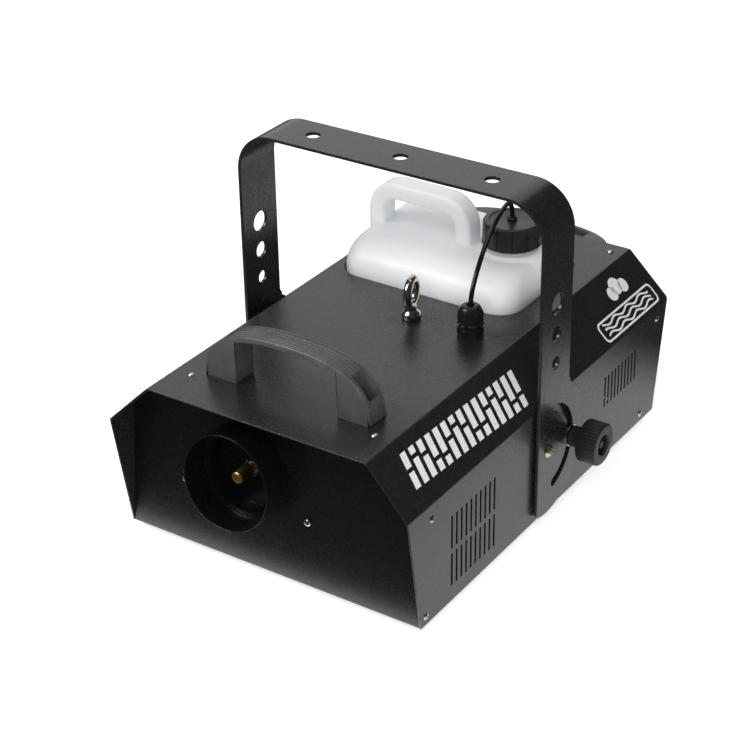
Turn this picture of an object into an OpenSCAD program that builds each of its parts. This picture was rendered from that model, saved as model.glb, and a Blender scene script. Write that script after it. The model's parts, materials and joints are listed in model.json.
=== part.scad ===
// Fog machine: a folded steel case that holds a heater, a pump and a lift-out
// fluid tank, hung in a tilting steel bracket that two hand knobs clamp.
// Front faces -Y, up is +Z, and the origin is on the floor under the middle of the
// whole machine, its rear handle included.

/* [Case] */
// Length of the case along Y, at the fold of its sides
body_l = 421; // [415:1:440]
// Width of the case
body_w = 280; // [276:1:300]
// Height of the case above its feet
body_h = 143.5; // [142:0.5:150]
// Width of the flat top
top_w = 204; // [200:1:212]
// Height of the fold between a side and its chamfer
fold_h = 106; // [102:1:108]
// How far each end of a side slopes in at its lower edge
end_rake = 17.5; // [12:0.5:20]
// Thickness of the case's sheet steel
sheet_t = 1.2; // [1:0.1:1.4]
// Height of the rubber feet
foot_h = 6; // [5:0.5:8]
// How far the front panel leans back, in degrees
front_lean = 6.3; // [5:0.1:7]

/* [Bracket] */
// Outer width of the bracket
bracket_w = 289; // [286:0.5:292]
// Height of the bracket's top face above the case's lower edge
bracket_h = 285; // [275:1:300]
// Width of the bracket's steel strap
strap_w = 47.5; // [45:0.5:50]
// Thickness of the strap
strap_t = 3; // [2.5:0.1:3.2]
// Radius of the bracket's two top bends
bend_r = 35; // [25:1:40]
// Radius of the arc slot that the clamp studs run in
slot_r = 36; // [35:0.5:37]
// Spacing of the three mounting holes
hook_pitch = 84; // [70:1:90]

/* [Tank] */
// Width of the fluid tank
tank_w = 170; // [166:1:172]
// Depth of the fluid tank along Y
tank_d = 124; // [120:1:130]
// Height of the tank's shoulder above the case's top
tank_rise = 29; // [26:1:32]
// Diameter of the tank's screw cap
cap_d = 51; // [48:1:52]

/* [Hidden] */

$fn = 48;

// Colours
paint = [0.09, 0.09, 0.09];
panel_paint = [0.05, 0.05, 0.055];
black_plastic = [0.12, 0.12, 0.12];
nickel = [0.72, 0.70, 0.66];
brass = [0.78, 0.62, 0.30];
milky = [0.93, 0.94, 0.95];
rubber = [0.06, 0.06, 0.06];
steel = [0.62, 0.63, 0.65];
aluminium = [0.78, 0.78, 0.80];

// Case
half_w = body_w / 2;
// The case's middle, which sits forward of the origin because the rear handle stands out
case_y = -16.3;
half_top = top_w / 2;
half_l = body_l / 2;
bottom_y = half_l - end_rake;
top_y = half_l - 3.5;
rear_top_y = half_l - 1;
chamfer_run = half_w - half_top;
chamfer_rise = body_h - fold_h;
// Mitre factors of the two folds of the cover's section
side_mitre = tan(atan2(chamfer_run, chamfer_rise) / 2);
top_mitre = tan(atan2(chamfer_rise, chamfer_run) / 2);
fit_gap = 0.3;
flange_w = 13;
rear_recess = 3;
rear_lean = 4.8;
rear_y = bottom_y - rear_recess;

// Vents: first slot, pitch and count along Y, then the lowest and highest point
vent_slot_w = 2.5;
front_vent_y = -149;
front_vent_pitch = 7;
rear_vent_y = 97;
rear_vent_pitch = 6.15;
vent_count = 10;
vent_slot_h = 29.5;
front_vent_rows = [15.4, 49.6];
rear_vent_z = 51.5;

// Fasteners
cover_screw_r = 1.6;
cover_head_r = 3.1;
cover_head_h = 1.7;
top_screw_at = [[-86, -171], [86, -171], [-90, 195.5], [90, 195.5]];
feet_at = [[-108, -150], [108, -150], [-108, 150], [108, 150]];
foot_r = 11;
foot_screw_r = 2;
foot_hole_r = foot_screw_r + 0.1;
side_screw_at = [[-177, 92], [-186, 9], [191, 93.5], [168, 9]];
panel_screw_x = 59.5;
panel_screw_v = 56;

// Nozzle, on the leaning front panel
nozzle_x = -27;
nozzle_v = 81;
nozzle_z = nozzle_v * cos(front_lean);
guard_r = 40.3;
guard_len = 27;
guard_t = 1.5;
cup_r = 36;
cup_depth = 17;
nozzle_tip_y = -196;
nozzle_r = 5.25;
nozzle_len = 18;
nozzle_nut_len = 5;

// Handles
handle_half = 77;
handle_h = 46.5;
handle_bar_t = 5.2;
handle_y0 = 141.4;
handle_w = 22.6;
handle_open = 47.5;
handle_power = 2.6;
handle_screw_x = 61;
handle_pocket_r = 4.6;
handle_pocket_z = 6;
handle_screw_r = 2;
handle_hole_r = handle_screw_r + 0.1;
rear_handle_v = 126.4;

// Bracket and clamp
strap_y = -1;
pivot_y = -8;
pivot_z = 64;
arm_x = bracket_w / 2 - strap_t;
arm_plate_r = 59.5;
arm_plate_rear = 44.4;
slot_half_angle = 74;
slot_half_w = 3.8;
stud_angle = -5.3;
stud_r = 3;
stud_y = pivot_y + slot_r * cos(stud_angle);
stud_z = pivot_z + slot_r * sin(stud_angle);
pivot_r = 3;
run_gap = 0.05;
arm_holes = [[194, 9], [167.5, 7], [141.7, 5.5]];
hook_hole_r = 6;
knob_r = 18;
knob_face_x = 175.5;
knob_head_t = 17.5;
knob_hub_r = 8.8;
knob_ribs = 40;
knob_washer_t = 1.5;
insert_r = 4.5;

// Eye bolt and gland, on the cover's top
eye_at = [9, 0];
eye_ring_r = 11.5;
eye_wire_r = 3.5;
eye_centre_h = 23;
eye_turn = 14.5;
gland_at = [64, 2];
gland_bore_r = 2.4;

// Tank
tank_x0 = -93;
tank_y0 = 41;
tank_cx = tank_x0 + tank_w / 2;
tank_cy = tank_y0 + tank_d / 2;
tank_floor = 31;
tank_top = body_h + tank_rise;
tank_wall = 2;
tank_corner = 20;
tank_corner_steps = 6;
tank_foot_r = 5;
tank_shoulder_z = body_h + 3;
tank_front_in = 32;
tank_side_in = 14;
well_gap = 1;
neck_at = [42.5, 104.5];
neck_r = 21;
neck_top = tank_top + 23.5;
cap_h = 21;
cap_top = tank_top + 27;
cap_ribs = 12;
tank_handle_x = [-91, 10];
tank_handle_y = [88, 109];
tank_handle_h = 68;
tank_handle_bar = 14.5;
tank_handle_post = 15;

// Hoses: their routes, in points chosen along the curve
hose_r = 2;
boot_h = 3;
suction_route = [
    [64, 2, 164], [63.99, 2.04, 169.4], [63.8, 2.94, 174.71], [63.38, 4.97, 179.69],
    [62.73, 8.04, 184.07], [62.06, 11.24, 187.44], [61.25, 15.09, 191.14], [60.41, 19.12, 194.64],
    [59.53, 23.3, 197.95], [58.62, 27.64, 201.04], [57.68, 32.11, 203.91], [56.72, 36.72, 206.56],
    [55.73, 41.45, 208.98], [54.71, 46.29, 211.16], [53.68, 51.22, 213.1], [52.62, 56.24, 214.79],
    [51.55, 61.34, 216.23], [50.47, 66.49, 217.42], [49.38, 71.7, 218.36], [48.28, 76.95, 219.03],
    [47.17, 82.22, 219.45], [46.07, 87.5, 219.6], [44.97, 92.72, 218.88], [43.98, 97.46, 216.53],
    [43.19, 101.23, 212.78], [42.68, 103.66, 208.01], [42.5, 104.5, 202.7]
];
pump_route = [
    [64, 2, 164], [64, 2, 130], [65, 0, 108], [70, -8, 82], [78, -20, 58],
    [84, -28, 47.5], [85, -34, 45], [85, -38, 45], [85, -41.8, 45]
];
feed_route = [
    [85, -123.1, 45], [85, -127, 45], [84.5, -131, 45.5], [82, -137, 47], [72, -144, 52], [52, -148, 64],
    [32, -149, 80], [24, -150, 90], [16, -152, 95], [8, -152, 95]
];

// Heater, pump and electronics
heater_size = [80, 140, 44];
heater_y0 = -148;
heater_x = nozzle_x;
wrap_t = 6;
shroud_t = 1;
pump_at = [85, -80, 45];
plunger_r = 5;
plunger_len = 28;
plunger_room = 36;
board_at = [109, 96, 16];
board_size = [44, 110, 1.6];

// Fittings on the rear panel: their distance from the middle and their heights up the panel
rear_unit_x = 110;
inlet_v = 34;
switch_v = 66;
fuse_v = 92;
remote_x = 114;
remote_v = 60;
remote_r = 8;
// The switch rocker's pivot, below the panel's face, and its tilt when it is off
rocker_pivot_z = -0.6;
rocker_tilt = 8;

// ---------- shared shapes ----------

// Moves a shape from the case's frame, whose zero is the lower edge, onto the feet
module raised() {
    translate([0, case_y, foot_h]) children();
}

// Repeats a shape made on the right-hand side on the left-hand side too
module both_sides() {
    children();
    mirror([1, 0, 0]) children();
}

// Rectangle with round corners, centred
module rounded_rect(w, d, r) {
    square([w - 2 * r, d], center = true);
    square([w, d - 2 * r], center = true);
    for (sx = [-1, 1], sy = [-1, 1])
        translate([sx * (w / 2 - r), sy * (d / 2 - r)]) circle(r);
}

// Case section across X, inset by a distance from the sheet's outer face
module case_section(inset) {
    side = half_w - inset;
    fold = fold_h - inset * side_mitre;
    flat_half = half_top - inset * top_mitre;
    polygon([
        [-side, 0], [side, 0], [side, fold], [flat_half, body_h - inset],
        [-flat_half, body_h - inset], [-side, fold]
    ]);
}

// Prism of the case section along Y
module case_prism(inset) {
    rotate([90, 0, 0]) linear_extrude(body_l + 10, center = true) case_section(inset);
}

// Side view of the case, as a prism across X
module side_profile() {
    rotate([90, 0, 90]) linear_extrude(body_w + 20, center = true) polygon([
        [-bottom_y, 0], [bottom_y, 0], [half_l, fold_h], [rear_top_y, body_h + 1],
        [-top_y, body_h + 1], [-half_l, fold_h]
    ]);
}

// Frame of the front panel: x across, y up the panel, z out of it
module on_front_panel() {
    translate([0, -bottom_y, 0]) rotate([90 - front_lean, 0, 0]) children();
}

// Frame of the rear panel: x across, y up the panel, z out of it
module on_rear_panel() {
    translate([0, rear_y, 0]) rotate([90 + rear_lean, 0, 180]) children();
}

// Pan-head screw, its head's underside at zero and its shank downwards
module pan_screw(shank_r, shank_len, head_r, head_h) {
    difference() {
        union() {
            translate([0, 0, -shank_len]) cylinder(r = shank_r, h = shank_len);
            pan_head(head_r, head_h);
        }
        cross_recess(head_r, head_h);
    }
}

// Domed head of a screw
module pan_head(head_r, head_h) {
    dome_r = (head_r * head_r + head_h * head_h) / (2 * head_h);
    intersection() {
        translate([0, 0, head_h - dome_r]) sphere(dome_r);
        cylinder(r = head_r, h = head_h);
    }
}

// Cross-shaped recess in the top of a head
module cross_recess(head_r, head_h) {
    for (turn = [0, 90])
        rotate([0, 0, turn]) translate([0, 0, head_h])
            cube([head_r * 1.1, head_r * 0.28, head_h * 1.1], center = true);
}

// Flat ring
module ring(outer_r, inner_r, h) {
    difference() {
        cylinder(r = outer_r, h = h);
        translate([0, 0, -1]) cylinder(r = inner_r, h = h + 2);
    }
}

// Turns a shape's +Z to +X and moves it to a place on the right-hand side
module facing_right(x, y, z) {
    translate([x, y, z]) rotate([0, 90, 0]) children();
}

// Point on a smooth curve through the points p, at piece i and fraction t
function at_or_end(p, i) = p[max(0, min(len(p) - 1, i))];
function curve_point(p, i, t) =
    let (a = at_or_end(p, i - 1), b = p[i], c = at_or_end(p, i + 1), d = at_or_end(p, i + 2))
    0.5 * (2 * b + (c - a) * t + (2 * a - 5 * b + 4 * c - d) * t * t
        + (3 * b - a - 3 * c + d) * t * t * t);
function curve(p, steps) = [
    for (i = [0 : len(p) - 2], s = [0 : steps - 1]) curve_point(p, i, s / steps),
    p[len(p) - 1]
];
function tangent(p, i) =
    let (d = at_or_end(p, i + 1) - at_or_end(p, i - 1)) d / norm(d);

// Round tube swept along the points, its rings kept square to the route
module swept_tube(points, r, sides, across) {
    n = len(points);
    rings = [
        for (i = [0 : n - 1])
            let (t = tangent(points, i), u0 = across - (across * t) * t,
                 u = u0 / norm(u0), v = cross(t, u))
            for (k = [0 : sides - 1])
                points[i] + r * (cos(360 * k / sides) * u + sin(360 * k / sides) * v)
    ];
    walls = [
        for (i = [0 : n - 2], k = [0 : sides - 1])
            [i * sides + k, (i + 1) * sides + k,
             (i + 1) * sides + (k + 1) % sides, i * sides + (k + 1) % sides]
    ];
    start = [for (k = [0 : sides - 1]) k];
    end = [for (k = [sides - 1 : -1 : 0]) (n - 1) * sides + k];
    polyhedron(points = rings, faces = concat(walls, [start, end]), convexity = 6);
}

// ---------- case ----------

module side_vents() {
    for (i = [0 : vent_count - 1]) {
        for (z = front_vent_rows)
            translate([-half_w - 5, front_vent_y + i * front_vent_pitch - vent_slot_w / 2, z])
                cube([body_w + 10, vent_slot_w, vent_slot_h]);
        translate([-half_w - 5, rear_vent_y + i * rear_vent_pitch - vent_slot_w / 2, rear_vent_z])
            cube([body_w + 10, vent_slot_w, vent_slot_h - 1]);
    }
}

module cover_holes() {
    hole_r = cover_screw_r + run_gap;
    for (p = top_screw_at) translate([p[0], p[1], body_h - 5]) cylinder(r = hole_r, h = 10);
    translate([0, 0, body_h - 5]) {
        translate(eye_at) cylinder(r = 4.1, h = 10);
        translate(gland_at) cylinder(r = 7.7, h = 10);
        for (s = [-1, 1]) translate([s * handle_screw_x, -handle_y0 - handle_w / 2, 0])
            cylinder(r = handle_hole_r, h = 10);
    }
    both_sides() {
        for (p = side_screw_at)
            facing_right(half_w - 5, p[0], p[1]) cylinder(r = hole_r, h = 10);
        facing_right(half_w - 5, pivot_y, pivot_z) cylinder(r = insert_r + run_gap, h = 10);
        facing_right(half_w - 5, stud_y, stud_z) cylinder(r = insert_r + run_gap, h = 10);
    }
}

module top_cover() {
    color(paint) raised() difference() {
        intersection() {
            case_prism(0);
            side_profile();
        }
        translate([0, 0, -1]) linear_extrude(2) square([body_w, body_l], center = true);
        case_prism(sheet_t);
        translate([tank_cx, tank_cy, body_h - 5]) linear_extrude(10)
            rounded_rect(tank_w + 4, tank_d + 4, tank_corner + 2);
        side_vents();
        cover_holes();
    }
}

module base_pan() {
    inner = half_w - sheet_t - fit_gap;
    color(paint) raised() difference() {
        union() {
            translate([-inner, -bottom_y + 1.6, 0]) cube([2 * inner, 2 * bottom_y - 9, sheet_t]);
            both_sides() translate([inner - sheet_t, -bottom_y + 1.6 + 2, 0])
                cube([sheet_t, 2 * bottom_y - 14, 17]);
        }
        for (x = [-30 : 12 : 30], y = [-70, -30])
            translate([x - 2, y, -1]) cube([4, 30, 4]);
        for (p = feet_at) translate([p[0], p[1], -1]) cylinder(r = foot_hole_r, h = 4);
        both_sides() for (p = [side_screw_at[1], side_screw_at[3]])
            facing_right(half_w - 6, p[0], p[1]) cylinder(r = cover_screw_r + run_gap, h = 10);
    }
}

// A slab behind a panel's face, seen in the panel's own frame
module panel_slab(depth) {
    translate([-half_w, -20, -depth]) cube([body_w, body_h + 60, depth]);
}

// Panel plate and the flange that turns in from its edge, under the cover
module flanged_panel() {
    inset = sheet_t + fit_gap;
    intersection() {
        case_prism(inset);
        union() children(0);
        translate([-half_w, -body_l, sheet_t + fit_gap]) cube([body_w, 2 * body_l, body_h]);
    }
    intersection() {
        difference() {
            case_prism(inset);
            case_prism(inset + sheet_t);
        }
        union() children(1);
        translate([-half_w, -body_l, 20]) cube([body_w, 2 * body_l, body_h]);
    }
}

module front_panel() {
    color(panel_paint) raised() difference() {
        flanged_panel() {
            on_front_panel() panel_slab(sheet_t);
            on_front_panel() panel_slab(flange_w);
        }
        on_front_panel() {
            translate([nozzle_x, nozzle_v, -5]) cylinder(r = cup_r + 0.4, h = 10);
            for (s = [-1, 1]) translate([nozzle_x + s * panel_screw_x, panel_screw_v, -5])
                cylinder(r = cover_screw_r + run_gap, h = 10);
        }
        front_flange_holes();
    }
}

module front_flange_holes() {
    hole_r = cover_screw_r + run_gap;
    for (p = [top_screw_at[0], top_screw_at[1]])
        translate([p[0], p[1], body_h - 8]) cylinder(r = hole_r, h = 10);
    both_sides() facing_right(half_w - 8, side_screw_at[0][0], side_screw_at[0][1])
        cylinder(r = hole_r, h = 10);
}

module rear_panel() {
    color(panel_paint) raised() difference() {
        flanged_panel() {
            on_rear_panel() panel_slab(sheet_t);
            on_rear_panel() panel_slab(flange_w);
        }
        on_rear_panel() {
            translate([-rear_unit_x, 0, -10]) {
                translate([0, inlet_v, 0]) linear_extrude(20) square([28, 20.4], center = true);
                translate([0, switch_v, 0]) linear_extrude(20) square([22.4, 13.4], center = true);
                translate([0, fuse_v, 0]) cylinder(r = 6.3, h = 20);
            }
            translate([remote_x, remote_v, -5]) cylinder(r = remote_r + 0.1, h = 10);
            for (s = [-1, 1]) translate([s * handle_screw_x, rear_handle_v, -5])
                cylinder(r = handle_hole_r, h = 10);
        }
        rear_flange_holes();
    }
}

module rear_flange_holes() {
    hole_r = cover_screw_r + run_gap;
    for (p = [top_screw_at[2], top_screw_at[3]])
        translate([p[0], p[1], body_h - 8]) cylinder(r = hole_r, h = 10);
    both_sides() facing_right(half_w - 8, side_screw_at[2][0], side_screw_at[2][1])
        cylinder(r = hole_r, h = 10);
}

// Open tray that hangs under the cover and holds the tank
module tank_well() {
    outer_w = tank_w + 2 * (well_gap + sheet_t);
    outer_d = tank_d + 2 * (well_gap + sheet_t);
    well_top = body_h - sheet_t;
    color(paint) raised() translate([tank_cx, tank_cy, 0]) difference() {
        union() {
            translate([0, 0, tank_floor - sheet_t]) linear_extrude(well_top - tank_floor + sheet_t)
                rounded_rect(outer_w, outer_d, tank_corner + well_gap + sheet_t);
            translate([0, 0, well_top - sheet_t]) linear_extrude(sheet_t)
                rounded_rect(outer_w + 12, outer_d + 8, tank_corner);
        }
        translate([0, 0, tank_floor]) linear_extrude(body_h)
            rounded_rect(tank_w + 2 * well_gap, tank_d + 2 * well_gap, tank_corner + well_gap);
        translate([neck_at[0] - tank_cx, neck_at[1] - tank_cy, tank_floor - 5]) cylinder(r = 5, h = 10);
    }
}

// ---------- nozzle ----------

module nozzle_guard() {
    color(panel_paint) raised() on_front_panel() translate([nozzle_x, nozzle_v, 0]) {
        ring(guard_r, guard_r - guard_t, guard_len);
        ring(guard_r, cup_r + 0.5, guard_t);
    }
}

module nozzle_cup() {
    color(panel_paint) raised() on_front_panel() translate([nozzle_x, nozzle_v, 0]) difference() {
        union() {
            translate([0, 0, -cup_depth]) cylinder(r = cup_r, h = cup_depth + 1);
            translate([0, 0, -sheet_t - 1]) ring(cup_r + 4, cup_r - 1, 1);
        }
        translate([0, 0, 1 - cup_depth]) cylinder(r = cup_r - 1, h = cup_depth + 2);
        translate([0, 0, -cup_depth - 1]) cylinder(r = 9.5, h = 4);
    }
}

// Cylinder that points forwards from a distance along Y, on the nozzle's line
module on_nozzle_line(y) {
    raised() translate([nozzle_x, y, nozzle_z]) rotate([90, 0, 0]) children();
}

module nozzle() {
    root_y = nozzle_tip_y + nozzle_len;
    color(brass) on_nozzle_line(root_y) difference() {
        union() {
            cylinder(r = nozzle_r, h = nozzle_len - 1);
            translate([0, 0, nozzle_len - 1]) cylinder(r1 = nozzle_r, r2 = nozzle_r - 1, h = 1);
        }
        translate([0, 0, -1]) cylinder(r = 2.5, h = nozzle_len - 3);
        cylinder(r = 0.6, h = nozzle_len + 1);
        translate([0, 0, nozzle_len - 0.8]) ring(3.2, 2.4, 2);
    }
}

module nozzle_nut() {
    root_y = nozzle_tip_y + nozzle_len + nozzle_nut_len;
    color(nickel) on_nozzle_line(root_y) difference() {
        cylinder(r = 8, h = nozzle_nut_len, $fn = 6);
        translate([0, 0, -1]) cylinder(r = 2.5, h = nozzle_nut_len + 2);
    }
}

module outlet_pipe() {
    nut_root = nozzle_tip_y + nozzle_len + nozzle_nut_len;
    color(steel) on_nozzle_line(heater_y0) ring(4, 2.5, heater_y0 - nut_root);
}

// ---------- handles ----------

// Height of a flat-topped arch at x, as a share of its full height
function arch_share(x, half) = pow(max(0, 1 - pow(abs(x) / half, handle_power)), 1 / handle_power);

module arch_profile(half, h) {
    steps = 20;
    polygon([for (i = [-steps : steps])
        let (x = half * sin(90 * i / steps)) [x, h * arch_share(x, half)]]);
}

module handle_bow() {
    difference() {
        rotate([90, 0, 0]) linear_extrude(handle_w, center = true) difference() {
            arch_profile(handle_half, handle_h);
            intersection() {
                arch_profile(handle_half - handle_bar_t, handle_h - handle_bar_t);
                translate([-handle_open, -1]) square([2 * handle_open, handle_h]);
            }
        }
        for (s = [-1, 1]) translate([s * handle_screw_x, 0, 0]) {
            translate([0, 0, handle_pocket_z]) cylinder(r = handle_pocket_r, h = handle_h);
            translate([0, 0, -1]) cylinder(r = handle_hole_r, h = handle_h);
        }
    }
}

module front_handle() {
    color(black_plastic) raised() translate([0, -handle_y0 - handle_w / 2, body_h]) handle_bow();
}

module rear_handle() {
    color(black_plastic) raised() on_rear_panel() translate([0, rear_handle_v, 0]) handle_bow();
}

module handle_screws() {
    color(nickel) raised() {
        translate([0, -handle_y0 - handle_w / 2, body_h]) handle_screw_pair();
        on_rear_panel() translate([0, rear_handle_v, 0]) handle_screw_pair();
    }
}

// The two screws of a handle that stands on the plane of zero
module handle_screw_pair() {
    for (s = [-1, 1]) translate([s * handle_screw_x, 0, handle_pocket_z])
        pan_screw(handle_screw_r, 14, 3.8, 2.4);
}

// ---------- screws ----------

module cover_screws() {
    color(nickel) raised() {
        for (p = top_screw_at) translate([p[0], p[1], body_h])
            pan_screw(cover_screw_r, 6, cover_head_r, cover_head_h);
        both_sides() for (p = side_screw_at) facing_right(half_w, p[0], p[1])
            pan_screw(cover_screw_r, 6, cover_head_r, cover_head_h);
    }
}

module panel_screws() {
    color(nickel) raised() on_front_panel() for (s = [-1, 1])
        translate([nozzle_x + s * panel_screw_x, panel_screw_v, 0])
            pan_screw(cover_screw_r, 6, cover_head_r, cover_head_h);
}

// ---------- bracket ----------

// Front view of the bent strap, as a closed band
module strap_band() {
    half = bracket_w / 2;
    difference() {
        strap_outline(half, bracket_h, bend_r);
        strap_outline(half - strap_t, bracket_h - strap_t, bend_r - strap_t);
        translate([-half - 1, -10]) square([2 * half + 2, 10]);
    }
}

// Filled outline with two round upper corners
module strap_outline(half, h, r) {
    translate([-half, -20]) square([2 * half, h - r + 20]);
    translate([-half + r, 0]) square([2 * (half - r), h]);
    for (s = [-1, 1]) translate([s * (half - r), h - r]) circle(r);
}

// Side view of an arm: the straight strap and the round plate round the pivot
module arm_outline() {
    front = strap_y - strap_w / 2;
    rear = strap_y + strap_w / 2;
    corner = 8;
    plate_top = pivot_z + sqrt(pow(arm_plate_r, 2) - pow(rear - pivot_y, 2));
    translate([front, pivot_z]) square([strap_w, bracket_h]);
    intersection() {
        translate([pivot_y, pivot_z]) circle(arm_plate_r, $fn = 96);
        union() {
            translate([front, pivot_z - arm_plate_r + corner])
                square([arm_plate_rear - front, 2 * arm_plate_r]);
            translate([front + corner, pivot_z - arm_plate_r])
                square([arm_plate_rear - front - corner, corner + 1]);
            translate([front + corner, pivot_z - arm_plate_r + corner]) circle(corner);
        }
    }
    // Fillet between the strap's rear edge and the plate
    difference() {
        translate([rear - 1, plate_top - 4]) square([6, 9]);
        translate([rear + 6, plate_top + 6]) circle(6);
        translate([rear + 2.5, plate_top - 5]) square([8, 12]);
    }
}

// Arc slot, concentric with the pivot
module arc_slot() {
    translate([pivot_y, pivot_z]) {
        rotate([0, 0, -slot_half_angle]) ring_sector(2 * slot_half_angle);
        for (s = [-1, 1]) rotate([0, 0, s * slot_half_angle]) translate([slot_r, 0]) circle(slot_half_w);
    }
}

// Flat sector of a ring, as wide as the slot
module ring_sector(angle) {
    steps = 24;
    inner = slot_r - slot_half_w;
    outer = slot_r + slot_half_w;
    polygon(concat(
        [for (i = [0 : steps]) outer * [cos(angle * i / steps), sin(angle * i / steps)]],
        [for (i = [steps : -1 : 0]) inner * [cos(angle * i / steps), sin(angle * i / steps)]]
    ));
}

module bracket() {
    color(paint) raised() difference() {
        intersection() {
            rotate([90, 0, 0]) linear_extrude(200, center = true) strap_band();
            rotate([90, 0, 90]) linear_extrude(bracket_w + 10, center = true) arm_outline();
        }
        for (i = [-1, 0, 1]) translate([i * hook_pitch, strap_y, bracket_h - 10])
            cylinder(r = hook_hole_r, h = 20);
        both_sides() {
            for (p = arm_holes) facing_right(arm_x - 5, strap_y, p[0]) cylinder(r = p[1], h = 15);
            facing_right(arm_x - 5, pivot_y, pivot_z) cylinder(r = pivot_r + run_gap, h = 15);
        }
        rotate([90, 0, 90]) linear_extrude(bracket_w + 10, center = true) arc_slot();
    }
}

module pivot_screws() {
    head_x = arm_x + strap_t + 0.1;
    color(nickel) raised() both_sides() facing_right(head_x, pivot_y, pivot_z)
        pan_screw(pivot_r, head_x - half_w + 12, 5.8, 3.4);
}

module spacers() {
    color(steel) raised() both_sides() {
        facing_right(half_w + 0.6, pivot_y, pivot_z) ring(10, pivot_r + 0.1, 0.8);
        facing_right(half_w + 0.6, stud_y, stud_z) ring(8, stud_r + 0.2, 0.8);
    }
}

module side_inserts() {
    color(steel) raised() both_sides() for (p = [[pivot_y, pivot_z], [stud_y, stud_z]])
        facing_right(0, p[0], p[1]) {
            translate([0, 0, half_w]) ring(6.5, pivot_r + run_gap, 0.6);
            translate([0, 0, half_w - 12]) ring(insert_r, pivot_r + run_gap, 12);
        }
}

// ---------- knobs ----------

// Fluted hand knob, its axis along +Z and its outer face at the top
module knob_shape() {
    hub_len = knob_face_x - knob_head_t - arm_x - strap_t - knob_washer_t;
    difference() {
        union() {
            cylinder(r = knob_r - 0.6, h = knob_head_t);
            translate([0, 0, 1.2]) cylinder(r = knob_r, h = knob_head_t - 2.4);
            translate([0, 0, -hub_len]) cylinder(r = knob_hub_r, h = hub_len + 1);
        }
        for (k = [0 : knob_ribs - 1]) rotate([0, 0, k * 360 / knob_ribs])
            translate([knob_r + 0.3, 0, -1]) cylinder(r = 0.9, h = knob_head_t + 2, $fn = 16);
        translate([0, 0, knob_head_t - 7]) ring(8.5, 3.2, 10);
        translate([0, 0, knob_head_t - 1.5]) cylinder(r = 4, h = 3);
        translate([0, 0, -hub_len - 1]) cylinder(r = stud_r, h = hub_len + 9);
    }
}

// Threaded stud that the knob drives, with the washer under the knob's hub
module stud_shape() {
    tip_x = half_w - 12;
    root_x = knob_face_x - knob_head_t + 8;
    translate([0, 0, tip_x - knob_face_x + knob_head_t]) cylinder(r = stud_r, h = root_x - tip_x);
    translate([0, 0, arm_x + strap_t + 0.05 - knob_face_x + knob_head_t])
        ring(9.5, stud_r - 0.5, knob_washer_t - 0.1);
}

module at_right_knob() {
    raised() facing_right(knob_face_x - knob_head_t, stud_y, stud_z) children();
}

module right_knob() {
    color(black_plastic) at_right_knob() knob_shape();
}

module right_stud() {
    color(steel) at_right_knob() stud_shape();
}

module left_knob() {
    color(black_plastic) mirror([1, 0, 0]) at_right_knob() knob_shape();
}

module left_stud() {
    color(steel) mirror([1, 0, 0]) at_right_knob() stud_shape();
}

// ---------- eye bolt and gland ----------

module eye_bolt() {
    color(nickel) raised() translate([eye_at[0], eye_at[1], body_h]) {
        cylinder(r = 8.2, h = 3);
        translate([0, 0, 3]) cylinder(r1 = 8.2, r2 = 5.5, h = 4);
        translate([0, 0, 6.9]) cylinder(r = 5, h = eye_centre_h - eye_ring_r - 6.9);
        translate([0, 0, -16]) cylinder(r = 4, h = 16.5);
        translate([0, 0, eye_centre_h]) rotate([0, 90, eye_turn]) rotate_extrude()
            translate([eye_ring_r, 0]) circle(eye_wire_r);
    }
}

module eye_bolt_nut() {
    color(nickel) raised() translate([eye_at[0], eye_at[1], body_h - sheet_t]) {
        translate([0, 0, -1.6]) ring(8.5, 4, 1.6);
        translate([0, 0, -8.1]) difference() {
            cylinder(r = 7.5, h = 6.5, $fn = 6);
            translate([0, 0, -1]) cylinder(r = 4, h = 9);
        }
    }
}

// Stack of gland pieces stands on the cover's top at the gland's place
module at_gland() {
    raised() translate([gland_at[0], gland_at[1], body_h]) children();
}

module gland_body() {
    color(black_plastic) at_gland() difference() {
        union() {
            cylinder(r = 11, h = 7, $fn = 6);
            translate([0, 0, 7]) cylinder(r = 8.4, h = 2.4);
            translate([0, 0, 9.3]) cylinder(r = 6.9, h = 8);
            translate([0, 0, -9]) cylinder(r = 7.6, h = 9.5);
        }
        translate([0, 0, -10]) cylinder(r = 4.2, h = 40);
    }
}

module gland_seal() {
    color(rubber) at_gland() translate([0, 0, 8]) ring(4.1, gland_bore_r, 13);
}

module gland_dome_nut() {
    color(black_plastic) at_gland() difference() {
        union() {
            translate([0, 0, 9.5]) cylinder(r = 11.2, h = 1.6);
            translate([0, 0, 11]) cylinder(r = 10.6, h = 10, $fn = 6);
            translate([0, 0, 21]) cylinder(r1 = 9.2, r2 = 7.4, h = 3.4);
            translate([0, 0, 24.4]) cylinder(r1 = 7.4, r2 = 5, h = 2);
        }
        translate([0, 0, 9]) cylinder(r = 7, h = 12.2);
        translate([0, 0, 15]) cylinder(r = 3.2, h = 20);
    }
}

module gland_locknut() {
    color(black_plastic) at_gland() translate([0, 0, -sheet_t - 4.5]) difference() {
        cylinder(r = 11, h = 4.5, $fn = 6);
        translate([0, 0, -1]) cylinder(r = 7.6, h = 7);
    }
}

// ---------- hoses ----------

module suction_hose() {
    color(black_plastic) raised()
        swept_tube(curve(suction_route, 2), hose_r, 10, [0.98, 0.2, 0]);
}

module pump_hose() {
    color(black_plastic) raised()
        swept_tube(curve(pump_route, 3), hose_r, 10, [0.83, 0.55, 0]);
}

module feed_tube() {
    color([0.8, 0.5, 0.35]) raised()
        swept_tube(curve(feed_route, 2), 1.6, 8, [0, 1, 0.35]);
}

// ---------- tank ----------

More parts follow.
